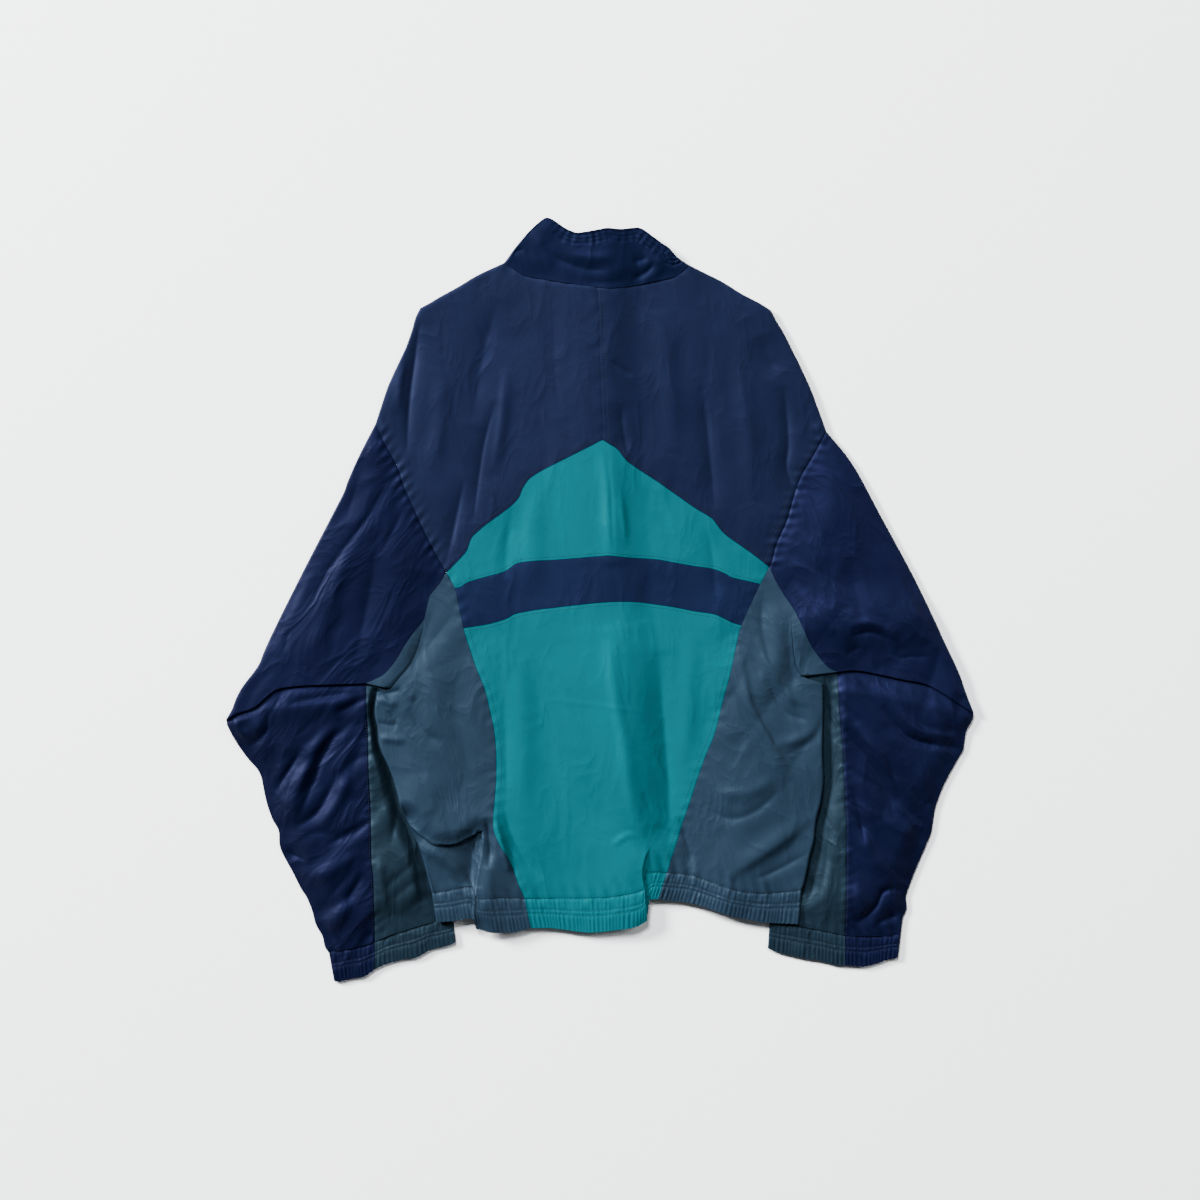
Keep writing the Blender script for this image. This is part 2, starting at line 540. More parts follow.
def cloth(node, points, material, faces_down=False, thick=0.45):
    """A thin sheet on that grid of points, turned outwards, with its thickness on the inside and with
    a UV map in metres along its two directions. It stands for the CAD node of its name."""
    across_grid = np.cross(np.diff(points, axis=0)[:, :-1], np.diff(points, axis=1)[:-1])
    middle = (points[:-1, :-1] + points[1:, 1:]) / 2
    upper = middle[..., 2] > np.median(middle[..., 2]) - 1e-6
    if (across_grid[..., 2][upper].sum() < 0) != faces_down:
        points = points[::-1]
    piece = made_of(node + "_cloth", points, material)
    rows, columns = points.shape[:2]
    along = np.r_[0, np.cumsum(np.linalg.norm(np.diff(points, axis=0), axis=2).mean(1))] * 0.001
    across = np.r_[0, np.cumsum(np.linalg.norm(np.diff(points, axis=1), axis=2).mean(0))] * 0.001
    spread = np.stack([np.broadcast_to(across[None], (rows, columns)),
                       np.broadcast_to(along[:, None], (rows, columns))], -1).reshape(-1, 2)
    corner = np.empty(len(piece.data.loops), int)
    piece.data.loops.foreach_get("vertex_index", corner)
    piece.data.uv_layers.new(name="cut").data.foreach_set("uv", spread[corner].ravel())
    wall = piece.modifiers.new("thickness", "SOLIDIFY")
    wall.thickness = thick * 0.001
    wall.offset = -1
    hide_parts(node)
    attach(piece, "jacket")
    return piece


def colour(code):
    """A colour's linear red, green and blue from its sRGB hex code."""
    parts = [int(code[k:k + 2], 16) / 255 for k in (1, 3, 5)]
    return tuple(c / 12.92 if c <= 0.04045 else ((c + 0.055) / 1.055) ** 2.4 for c in parts) + (1.0,)


def add(tree, kind, values=None, links=None, **settings):
    """One node with its own settings, the fixed values of its sockets, and the outputs that feed them."""
    made = tree.nodes.new(kind)
    for name, value in settings.items():
        setattr(made, name, value)
    for socket, value in (values or {}).items():
        made.inputs[socket].default_value = value
    for socket, source in (links or {}).items():
        tree.links.new(source, made.inputs[socket])
    return made


def blank(name):
    """A new material, its node tree, its shader and the coordinates of its textures."""
    material = bpy.data.materials.new(name)
    material.use_nodes = True
    tree = material.node_tree
    return material, tree, tree.nodes["Principled BSDF"], add(tree, "ShaderNodeTexCoord")


# sizes of the nylon's patterns, in millimetres
YARN_PITCH = 1.309           # one band of the weave, several times the real yarns', so that it can be seen
RUBBED_SIZE = 71.43          # patches where the cloth has rubbed lighter
CREASE_SIZE = 33.333         # fine creases, and how far they are drawn out
CREASE_STRETCH = 1.9
SLACK_SIZE = 14.286          # slack cloth between them


def nylon(name, shell, worn, gleam, roughness=0.5, lean=0.2, creases=0.35):
    """Nylon taffeta: a plain weave with a satin gleam, a little lighter where it has rubbed, with fine
    creases that lean that far. What the eye gets is a smooth dark cloth whose folds shine softly."""
    material, tree, shader, place = blank(name)
    cloth_way = add(tree, "ShaderNodeMapping", links={"Vector": place.outputs["UV"]})
    room_way = add(tree, "ShaderNodeMapping", links={"Vector": place.outputs["Object"]})
    cloudy = add(tree, "ShaderNodeTexNoise", {"Scale": 1000 / RUBBED_SIZE, "Detail": 4.0, "Roughness": 0.6},
                 {"Vector": room_way.outputs["Vector"]})
    # a wave texture has 20 radians to its unit, so this is one band for each pitch
    yarns = {"Scale": 1000 * 2 * math.pi / 20 / YARN_PITCH, "Distortion": 0.6, "Detail": 1.0}
    warp, weft = (add(tree, "ShaderNodeTexWave", yarns, {"Vector": cloth_way.outputs["Vector"]},
                      wave_type="BANDS", bands_direction=axis) for axis in ("X", "Y"))
    weave = add(tree, "ShaderNodeMath", links={0: warp.outputs["Fac"], 1: weft.outputs["Fac"]},
                operation="MAXIMUM")
    rubbed = add(tree, "ShaderNodeMapRange", {"From Min": 0.35, "From Max": 0.75, "To Max": 0.5},
                 {"Value": cloudy.outputs["Fac"]})
    tone = add(tree, "ShaderNodeMix", {"A": colour(shell), "B": colour(worn)},
               {"Factor": rubbed.outputs["Result"]}, data_type="RGBA")
    tree.links.new(tone.outputs["Result"], shader.inputs["Base Color"])
    drawn_out = add(tree, "ShaderNodeMapping",
                    {"Scale": (1.0, CREASE_STRETCH, 1.0), "Rotation": (0.0, 0.0, lean)},
                    {"Vector": room_way.outputs["Vector"]}, vector_type="TEXTURE")
    creased = add(tree, "ShaderNodeTexNoise",
                  {"Scale": 1000 / CREASE_SIZE, "Detail": 2.5, "Roughness": 0.5, "Distortion": 0.7,
                   "Offset": 1.0, "Gain": 1.6},
                  {"Vector": drawn_out.outputs["Vector"]}, noise_type="RIDGED_MULTIFRACTAL")
    crease_bump = add(tree, "ShaderNodeBump", {"Strength": creases, "Distance": 0.0012},
                      {"Height": creased.outputs["Fac"]})
    slack = add(tree, "ShaderNodeTexNoise",
                {"Scale": 1000 / SLACK_SIZE, "Detail": 3.0, "Roughness": 0.5, "Distortion": 0.4},
                {"Vector": cloth_way.outputs["Vector"]})
    slack_bump = add(tree, "ShaderNodeBump", {"Strength": 0.22, "Distance": 0.0006},
                     {"Height": slack.outputs["Fac"], "Normal": crease_bump.outputs["Normal"]})
    weave_bump = add(tree, "ShaderNodeBump", {"Strength": 0.25, "Distance": 0.00008},
                     {"Height": weave.outputs["Value"], "Normal": slack_bump.outputs["Normal"]})
    tree.links.new(weave_bump.outputs["Normal"], shader.inputs["Normal"])
    shader.inputs["Roughness"].default_value = roughness
    shader.inputs["Specular IOR Level"].default_value = 0.4
    shader.inputs["Specular Tint"].default_value = colour(gleam)
    return material


def beside(points, offset):
    """The curve through the points, moved that far to its left."""
    line = curve(points, 3.0)
    way = np.gradient(line, axis=0)
    way /= np.linalg.norm(way, axis=1)[:, None]
    return line + offset * np.column_stack([-way[:, 1], way[:, 0]])


STITCH_SHARE = 0.84          # a stitch's length as a share of the pitch
THREAD_SIZE = (0.34, 0.26)   # half its width and half its height
THREAD_RISE = 0.05           # how far its middle lies over the cloth
THREAD_SINK = 0.25           # and how far its ends lie under it


def stitching(name, lines, material, pitch=3.1):
    """Rows of lockstitch along lines on the cloth: each stitch is a low spindle of thread, as long as most
    of the pitch, that follows the cloth's slope and sinks into it at both ends."""
    lengths = [np.linalg.norm(np.diff(line[:, :2], axis=0), axis=1).sum() for line in lines]
    ends = [cut(line, max(2, round(length / pitch))) for line, length in zip(lines, lengths)]
    middle = np.vstack([(line[1:] + line[:-1]) / 2 for line in ends])
    way = np.vstack([(line[1:] - line[:-1]) / 2 for line in ends]) * STITCH_SHARE
    flat_way = way[:, :2] / np.maximum(np.linalg.norm(way[:, :2], axis=1), 1e-6)[:, None]
    across = np.column_stack([-flat_way[:, 1], flat_way[:, 0], np.zeros(len(way))])
    up = np.array([0, 0, 1.0])
    parts = [middle - way - THREAD_SINK * up]
    for share, width in ((-0.62, 0.8), (0.0, 1.0), (0.62, 0.8)):
        centre = middle + share * way + THREAD_RISE * up
        for side, rise in ((1, 0), (0, 1), (-1, 0), (0, -1)):
            parts.append(centre + width * (THREAD_SIZE[0] * side * across + THREAD_SIZE[1] * rise * up))
    parts.append(middle + way - THREAD_SINK * up)
    faces = []
    for k in range(4):
        n = (k + 1) % 4
        faces += [(0, 1 + n, 1 + k), (1 + k, 1 + n, 5 + n), (1 + k, 5 + n, 5 + k), (5 + k, 5 + n, 9 + n),
                  (5 + k, 9 + n, 9 + k), (9 + k, 9 + n, 13)]
    triangles = (np.array(faces)[None] + 14 * np.arange(len(middle))[:, None, None]).reshape(-1, 3)
    piece = made_of(name, np.stack(parts, 1).reshape(-1, 3), material, triangles)
    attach(piece, "jacket")
    return piece


PLY_SIZE = 1.111             # the plies of a thread, in millimetres


def thread(name, shade):
    """Spun polyester thread: matt, a little lighter than the cloth."""
    material, tree, shader, place = blank(name)
    ply = add(tree, "ShaderNodeTexNoise", {"Scale": 1000 / PLY_SIZE, "Detail": 2.0},
              {"Vector": place.outputs["Object"]})
    tone = add(tree, "ShaderNodeHueSaturation", {"Color": colour(shade)}, {"Value": ply.outputs["Fac"]})
    lifted = add(tree, "ShaderNodeMix", {"Factor": 0.3, "B": colour(shade)}, {"A": tone.outputs["Color"]},
                 data_type="RGBA")
    tree.links.new(lifted.outputs["Result"], shader.inputs["Base Color"])
    shader.inputs["Roughness"].default_value = 0.75
    shader.inputs["Specular IOR Level"].default_value = 0.15
    return material


navy_nylon = nylon("navy nylon taffeta", NAVY_SHELL, "#0c1126", "#465488", creases=0.3)
navy_thread = thread("navy polyester thread", "#0a1026")


def yoke_edge(side):
    """The yoke's folded edge, from the neck over the shoulder and down to the armhole."""
    return joined(curve(SHOULDER[side]), curve(DROP[side]))


def front_neckline(side):
    """From the neck's side down the front to the zip."""
    points = {"left": [(-102, 358), (-88, 322), (-50, 295), (-4.3, 285)],
              "right": [(95, 355.5), (80, 320), (45, 295), (4.3, 285)]}[side]
    return curve(points)


front_seam = {}
for side, towards in (("left", 1), ("right", -1)):
    edge = yoke_edge(side)
    hem_line = joined(curve(ARMHOLE[side]), curve(CHEVRON_TOP[side]))
    plan = sewn(patch(curve(NECK[side]), hem_line, edge, curve(CENTRE_BACK)), True)
    way = np.gradient(plan[:, 0], axis=0)
    way /= np.linalg.norm(way, axis=1)[:, None]
    inward = np.column_stack([-way[:, 1], way[:, 0]]) * towards
    for end, line in ((0, front_neckline(side)), (-1, curve(ARMHOLE[side]))):
        step = line[1] - line[0]
        nearby = ease(1 - np.abs(np.arange(len(way)) - (len(way) - 1) * (end == -1)) / YOKE_TURN)[:, None]
        inward = (1 - nearby) * inward + nearby * step / np.linalg.norm(step)
    # the seam to the front underneath, without the loop that it would make inside the shoulder's corner
    seam = plan[:, 0] + YOKE_RETURN * inward
    clear = np.abs(from_line(edge, seam[:, 0], seam[:, 1])[0]) > YOKE_RETURN - 0.4
    clear[:YOKE_TURN] = clear[-YOKE_TURN:] = True
    front_seam[side] = cut(seam[clear], len(seam) - 1)
    share = np.linspace(0, 1, 6)[None, :, None]
    under = (1 - share) * plan[:, :1] + share * front_seam[side][:, None]
    top = on_cloth(plan, back_height)
    below = on_cloth(under, front_height)
    cloth("yoke_" + side, folded(top, below), navy_nylon)

yoke_rows = [beside(CENTRE_BACK, 2.6), beside(CENTRE_BACK, 7.2),
             beside(ARMHOLE["left"], 6.2)[4:], beside(ARMHOLE["right"], -6.2)[4:],
             beside(CHEVRON_TOP["left"], 3.6), beside(CHEVRON_TOP["right"], -3.6)]
stitching("yoke_stitching", [on_cloth(row, back_height) for row in yoke_rows], navy_thread)

# ==== Back panels ====
# The middle of the back: a teal chevron with a pointed top, a navy stripe and the teal lower back, each
# sewn to the next with its seam turned one way and topstitched beside it.
HEM_BACK = {
    "top": [[(-80, -316), (-50, -316), (-3, -315.5), (19, -313), (34, -310), (46, -306.5)],
            [(48.5, -288), (60, -288), (71, -289)]],
    "end": [[(-73, -347.7), (-55, -347.7), (-43.5, -348.7), (-19, -352), (-3, -352), (14, -350), (31, -347.7),
             (42, -344.5), (50, -339)], [(51.5, -317.5), (56, -317), (61, -317)]],
}
teal_nylon = nylon("teal nylon taffeta", "#003d44", "#00464d", "#00848e", creases=0.3)
teal_thread = thread("teal polyester thread", "#0a464c")
stripe_nylon = nylon("navy nylon taffeta, stripe", "#060c1e", "#0a1227", "#4a5a94")


def in_two(parts):
    """A hem's edge as two runs: the cloth in front, and past the lap the cloth that is drawn up."""
    return np.vstack([curve(parts[0]), curve(parts[1])])


def split_at(line, y):
    """The line's points above that height and those below it."""
    return line[line[:, 1] > y], line[line[:, 1] <= y]


side_seam = {side: curve(SIDE_SEAM[side]) for side in ("left", "right")}
tops = {"back_chevron": joined(curve(CHEVRON_TOP["left"]), curve(CHEVRON_TOP["right"])[::-1]),
        "back_stripe": curve(CHEVRON_BOTTOM), "back_lower": curve(STRIPE_BOTTOM)}
ends = {"back_chevron": curve(CHEVRON_BOTTOM), "back_stripe": curve(STRIPE_BOTTOM),
        "back_lower": in_two(HEM_BACK["top"])}
BELOW_ALL = -400             # a y that lies under every piece
# the y of each seam across the back, where it meets the side's seam
levels = {"left": (40, 12.7, -30, BELOW_ALL), "right": (50, 17, -27, BELOW_ALL)}
panels = (("back_chevron", teal_nylon, "teal_nylon", (0.36, 0.16), 0.030),
          ("back_stripe", stripe_nylon, "navy_nylon", (0.33, 0.06), 0.0145),
          ("back_lower", teal_nylon, "teal_nylon", (0.31, 0.31), 0.0655))
for k, (node, material, slot, flat, area) in enumerate(panels):
    borders = []
    for side in ("left", "right"):
        line = side_seam[side]
        high, low = levels[side][k], levels[side][k + 1]
        between = line[(line[:, 1] < high - 0.5) & (line[:, 1] > low + 0.5)]
        corner = 0 if side == "left" else -1
        borders.append(joined(tops[node][[corner]], between, ends[node][[corner]]))
    plan = sewn(patch(tops[node], ends[node], *borders))
    cloth(node, on_cloth(plan, back_height), material)

lower_seams = {side: split_at(side_seam[side], levels["left"][2])[1][::4] for side in ("left", "right")}
back_rows = [beside(CHEVRON_BOTTOM, 3.2), beside(STRIPE_BOTTOM, -3.0),
             beside(lower_seams["left"], 5.0), beside(lower_seams["right"], -5.0)]
stitching("back_stitching", [on_cloth(row, back_height) for row in back_rows], teal_thread)

# ==== Side panels ====
# Slate nylon, from the back's seam round the free edge to the front's seam underneath. Above the hem the
# left one hangs over itself in a swag; both are folded over the forearms that lie under them.
UNDERARM = {
    "left": [(-163, 29), (-170, 20), (-178, 10.6), (-182, -1), (-185.5, -16)],
    "right": [(179.7, 35), (186.6, 20), (196, 4), (204.5, -8)],
}
VALLEY = {
    "left": [(-185.5, -17.5), (-190, -39), (-195.6, -57), (-202.5, -70.5), (-213, -83), (-221.5, -94.3)],
    "right": [(204.6, -10), (203, -30), (204, -50), (207, -70), (213, -81)],
}
MOUTH = {"left": (-236.4, -97.5), "right": (236.4, -88.5)}
FREE_EDGE = {
    "left": [(-236.4, -97.5), (-238.8, -113), (-238.5, -124), (-236, -135), (-235, -148), (-232, -160),
             (-225, -175), (-219, -191), (-215, -205), (-211, -220), (-203, -237)],
    "right": [(236.4, -88.5), (236.8, -112), (236.4, -131), (236, -165), (237, -190), (234, -215),
              (229, -235), (227, -255), (223, -270), (220, -285), (216.5, -300), (214, -307)],
}
FREE_EDGE_LOW = [(-202.5, -239), (-200, -245), (-192, -262), (-185, -285), (-180, -305), (-178.5, -310)]
SWAG = [(-203, -237), (-190, -247.5), (-173, -256.5), (-154, -257), (-138, -249.5), (-126, -243.5),
        (-122, -241), (-118, -239), (-113, -236.5)]
HEM_TOP = {
    "left": [(-178.5, -310), (-163, -308), (-149, -305), (-135, -304), (-131, -314.5), (-118, -315.5),
             (-105, -315), (-92, -315.5), (-80, -316)],
    "right": [(214, -307), (197, -309), (170, -310.6), (143, -307), (115.5, -298), (95, -291.5),
              (71, -289)],
}
SWAG_LEVEL = -237.5          # y where the swag's edge meets the back's seam
TUCK_DEPTH = 9               # how far the swag runs back beneath itself
slate_nylon = nylon("slate nylon taffeta", "#101c28", "#15222f", "#6f889e", lean=0.45, creases=0.55)
sleeve_slate_nylon = nylon("slate nylon taffeta, sleeve", "#0a141c", "#0e1a24", "#5f7d92", creases=0.8)
slate_thread = thread("slate polyester thread", "#1e2b38")


def tucked(upper, lower, depth, radius=0.9):
    """The upper cloth turns under at its last row, runs back beneath itself and turns again to become the
    lower cloth. Where it isn't lifted enough for that, it falls straight. Also returns the plain fall."""
    edge, start = upper[-1], lower[0]
    out = start[:, :2] - edge[:, :2]
    out /= np.maximum(np.linalg.norm(out, axis=1), 1e-6)[:, None]
    drop = edge[:, 2] - start[:, 2]
    run = np.r_[0, np.cumsum(np.linalg.norm(np.diff(edge[:, :2], axis=0), axis=1))]
    weight = ease((drop - 2.8 * radius) / 2.0) * ease((run - 2) / 16) * ease((run[-1] - run - 1) / 12)
    reach = np.minimum(depth, 0.6 * drop + 3)
    root = np.minimum(0.5, drop / 6)
    path = []
    level = np.zeros(len(drop))
    for angle in np.radians((55, 20, -20, -55, -90)):
        path.append((radius * math.cos(angle) + level, radius * (math.sin(angle) - 1) + level))
    for share in (0.4, 0.8, 1.0):
        path.append((-share * reach, (1 - share) * -2 * radius + share * (2 * root - drop)))
    for angle in np.radians((40, 0, -40, -90)):
        path.append((-reach - root * math.cos(angle), root * (math.sin(angle) + 1) - drop))
    for share in (0.7, 0.35, 0.05):
        path.append((-share * reach, -drop))
    fall = np.linspace(0, 1, len(path) + 2)[1:-1]
    hidden, plain = [], []
    for (across, down), share in zip(path, fall):
        turned = np.column_stack([edge[:, :2] + out * across[:, None], edge[:, 2] + down])
        straight = edge + share * (start - edge)
        straight[:, 2] = edge[:, 2] - ease(share) * drop
        hidden.append(weight[:, None] * turned + (1 - weight[:, None]) * straight)
        plain.append(straight)
    return np.concatenate([upper, np.stack(hidden), lower]), np.concatenate([upper, np.stack(plain), lower])


for side in ("left", "right"):
    table_top = joined([MOUTH[side]], curve(VALLEY[side])[::-1], curve(UNDERARM[side])[::-1])
    seam, seam_low = split_at(side_seam[side], SWAG_LEVEL if side == "left" else BELOW_ALL)
    if side == "left":
        upper_plan = sewn(patch(table_top, curve(SWAG), curve(FREE_EDGE[side]), seam), True)
        lower_start = curve(SWAG) + np.array([0, -LAP_FALL])
        lower_start[0] = FREE_EDGE_LOW[0]
        lower_plan = patch(lower_start, curve(HEM_TOP[side]), curve(FREE_EDGE_LOW), seam_low)
        columns = max(upper_plan.shape[1], lower_plan.shape[1]) - 1
        upper_plan, lower_plan = (recut(plan, columns) for plan in (upper_plan, lower_plan))
        points, plain = tucked(on_cloth(upper_plan, back_height), on_cloth(lower_plan, back_height),
                               TUCK_DEPTH)
        under = thinned(plain[..., :2])
    else:
        plan = sewn(patch(table_top, curve(HEM_TOP[side]), curve(FREE_EDGE[side]), seam), True)
        points, under = on_cloth(plan, back_height), thinned(plan)
    below = on_cloth(under, under_height)
    cloth("side_" + side, folded(points, below), slate_nylon)

# ==== Sleeves ====
# Navy nylon, from the armhole round the outer edge to the underside. At the elbow the upper arm laps over
# the forearm, which is folded in under the body; the cuff's casing is the sleeve's own end.
OUTER_ARM = {
    "left": [(-238.5, 187), (-255.5, 154), (-268, 126), (-272, 114.5), (-284, 91), (-313, 35),
             (-343, -25), (-356, -53), (-361.5, -67), (-368, -77), (-379.5, -92), (-386, -104),
             (-390.5, -116), (-396.8, -127)],
    "right": [(240.5, 179), (269, 143), (300, 86), (333, 25), (357, -25), (364.6, -42), (374, -61.5),
              (382, -79.5), (389, -99.6), (396.8, -120)],
}
ARM_SEAM = {
    "left": [(-185.5, -16), (-187.6, -22), (-198, -35), (-207, -48), (-217, -65), (-228, -78),
             (-238.5, -84), (-248, -88)],
    "right": [(204.5, -8), (206.7, -10.6), (215, -30), (224, -49), (235, -64), (244, -73), (252, -76)],
}
OUTER_FOREARM = {
    "left": [(-396, -130), (-395.5, -133.6), (-386, -151.6), (-374, -168.5), (-364.6, -179), (-360, -188),
             (-358, -198), (-354, -216), (-348, -233), (-341.5, -245), (-339.5, -264), (-326, -290),
             (-318, -306), (-311.6, -316), (-306, -330), (-302, -344.5), (-295, -357), (-292.6, -368),
             (-288, -374.7)],
    "right": [(396.4, -123), (395, -129), (389, -140), (386, -159), (380.5, -168.5), (366, -195),
              (360, -210), (356, -222), (353.5, -238), (352, -247), (346, -262), (338, -280), (332, -295),
              (327, -308), (325, -316), (326, -325), (325, -331), (322, -337), (319.5, -356)],
}
FOREARM_SEAM = {
    "left": [(-248, -90), (-246, -145), (-245, -185), (-243, -226), (-242, -276), (-240, -297),
             (-239, -363)],
    "right": [(252, -78), (254, -123.5), (257.6, -156), (258.6, -189), (261, -237), (261, -297),
              (260, -356)],
}
CUFF_TOP = {
    "left": [(-288, -374.7), (-269, -371), (-252, -367), (-239, -363)],
    "right": [(319.5, -356), (290, -357), (270, -357), (260, -356)],
}
CUFF_TOP_INNER = {
    "left": [(-239, -363), (-223, -356), (-209, -352), (-189, -345.6), (-174, -342), (-156, -338)],
    "right": [(260, -356), (236, -351), (213, -346.6), (196, -344), (180, -342)],
}
FOREARM_LIE = 3.6     # top of a forearm at its flattened edges
FOREARM_LEAST = 0.9   # its least height, at the bottom of a trough
FOREARM_PUFF = 6.0    # how much it rises between them
UPPER_PUFF = 4.0      # the same for an upper arm
LAP_STEP = 3.2        # from the upper arm's edge down to the forearm beneath it
LAP_SWELL = 42.0      # how far from the lap the forearm has come down to its own height
CRISP_SINK = 1.2      # how far a forearm's crumpled cloth lies below its puff
BODY_PRESS = 3.3      # how far the body's edge presses it down
FOLD_GAIN = 2.0       # how much deeper its folds are than the table says
BROAD, SMALL = (34, 4.2), (17, 1.7)   # size and height of its broad and its small crumples
STRETCH = 2.6         # how far both are drawn out
ARM_FOLDS = [
    (-2.2, 6, 6, [(-222, 135), (-245, 90), (-275, 50), (-295, 20), (-305, -5)]),
    (-1.2, 5, 5, [(-207, 100), (-220, 72), (-235, 45)]),
    (-2.8, 18, 14, [(-232, 80), (-246, 0), (-262, -76)]),
    (2.0, 10, 10, [(-262, 62), (-290, -10), (-308, -78)]),
    (-0.8, 4, 4, [(-328, -30), (-332, -42), (-336, -56)]),
    (1.2, 12, 12, [(-300, 45), (-325, -5), (-352, -62)]),
    (-0.9, 6, 8, [(-250, 150), (-262, 112), (-270, 80)]),
    (-1.0, 8, 8, [(208, 45), (235, 28), (272, 5)]),
    (-0.9, 7, 7, [(218, 8), (235, -12), (252, -32)]),
    (-2.2, 4, 7, [(262, -40), (284, -34), (300, -40), (308, -62)]),
    (1.6, 5, 4, [(258, -30), (284, -24), (306, -34), (316, -54)]),
    (1.4, 6, 6, [(200, 20), (226, -8), (248, -40)]),
    (-1.0, 5, 5, [(262, -60), (268, -54), (277, -49)]),
    (-1.1, 4, 5, [(312, -64), (330, -60), (352, -60)]),
    (1.2, 5, 6, [(352, -42), (363, -54), (373, -70)]),
    (1.5, 16, 16, [(296, 62), (325, 5), (352, -50)]),
    (1.2, 12, 12, [(232, 105), (250, 60), (272, 15)]),
    (-1.1, 12, 12, [(262, 50), (272, 0), (284, -50)]),
]
FOREARM_FOLDS = [
    (-1.6, 5, 8, [(-250, -97), (-300, -104), (-342, -113)]),
    (-1.8, 6, 6, [(-248, -102), (-262, -110), (-282, -121)]),
    (-2.2, 8, 6, [(-255, -125), (-288, -150), (-304, -190), (-321, -236)]),
    (1.6, 5, 8, [(-270, -128), (-300, -158), (-318, -196), (-332, -226)]),
    (-1.8, 6, 6, [(-313, -155), (-330, -180), (-346, -206)]),
    (-2.0, 6, 8, [(-274, -178), (-300, -225), (-326, -242)]),
    (1.3, 6, 6, [(-262, -182), (-282, -220), (-300, -244)]),
    (-1.7, 6, 6, [(-244, -234), (-268, -248), (-292, -262)]),
    (1.2, 8, 8, [(-252, -262), (-280, -284), (-306, -300)]),
    (-1.4, 5, 5, [(-336, -267), (-322, -272), (-308, -276)]),
    (-1.5, 6, 6, [(-249, -288), (-260, -305), (-271, -322)]),
    (1.3, 8, 8, [(-262, -318), (-280, -338), (-290, -356)]),
    (-1.3, 4, 5, [(-351, -114), (-354, -140), (-376, -159)]),
    (1.2, 5, 5, [(-366, -122), (-384, -128), (-382, -142), (-368, -141)]),
    (-2.3, 6, 9, [(254, -127), (280, -165), (305, -205), (313, -237)]),
    (1.7, 8, 5, [(268, -126), (294, -164), (318, -204), (326, -232)]),
    (-1.8, 4, 6, [(298, -108), (320, -140), (342, -151), (386, -158)]),
    (1.3, 4, 6, [(306, -104), (330, -132), (352, -142), (384, -146)]),
    (-1.7, 6, 7, [(300, -160), (325, -220), (352, -241)]),
    (-1.8, 5, 5, [(326, -308), (302, -308), (292, -326), (268, -346)]),
    (-1.3, 5, 5, [(321, -334), (305, -338), (289, -346)]),
    (1.4, 9, 9, [(276, -240), (290, -272), (304, -292)]),
    (1.2, 7, 7, [(268, -300), (276, -322), (284, -340)]),
    (-1.2, 6, 6, [(266, -196), (276, -232), (280, -262)]),
    # slate strips
    (-1.8, 8, 5, [(-214, -190), (-216, -225), (-222, -262)]),
    (1.2, 5, 5, [(-234, -262), (-231, -298), (-225, -332)]),
    (-1.4, 6, 6, [(-196, -288), (-190, -310), (-184, -332)]),
    (-1.4, 6, 6, [(244, -240), (240, -280), (232, -320)]),
]
deep_navy_nylon = {
    side: nylon("deep navy nylon taffeta, " + side, "#040616", "#070b1f", gleam, lean=lean, creases=0.6)
    for side, gleam, lean in (("left", "#343c74", -0.65), ("right", "#4a5496", 0.6))
}
deep_navy_thread = thread("deep navy polyester thread", "#0b1028")


def upper_arm_height(x, y):
    """Top of an upper arm: the back's height at its seams, puffed between them."""
    side = "left" if np.mean(x) < 0 else "right"
    seam = np.abs(from_line(joined(ARMHOLE[side], UNDERARM[side], VALLEY[side]), x, y)[0])
    edge = np.abs(from_line(np.array(OUTER_ARM[side]), x, y)[0])
    lap = np.abs(from_line(np.array(ELBOW_LAP[side]), x, y)[0])
    inside = ease(seam / 45) * ease(edge / 40) * ease(lap / 55)
    crisp = ease(seam / 14) * ease(edge / 14)
    slant = (-1 if side == "left" else 1, -1.6)
    crushed = 1.8 * crumpled(x, y, 42, 3.4, slant, 15)
    return back_height(x, y) + inside * UPPER_PUFF + crisp * (folds(ARM_FOLDS, x, y) + crushed)


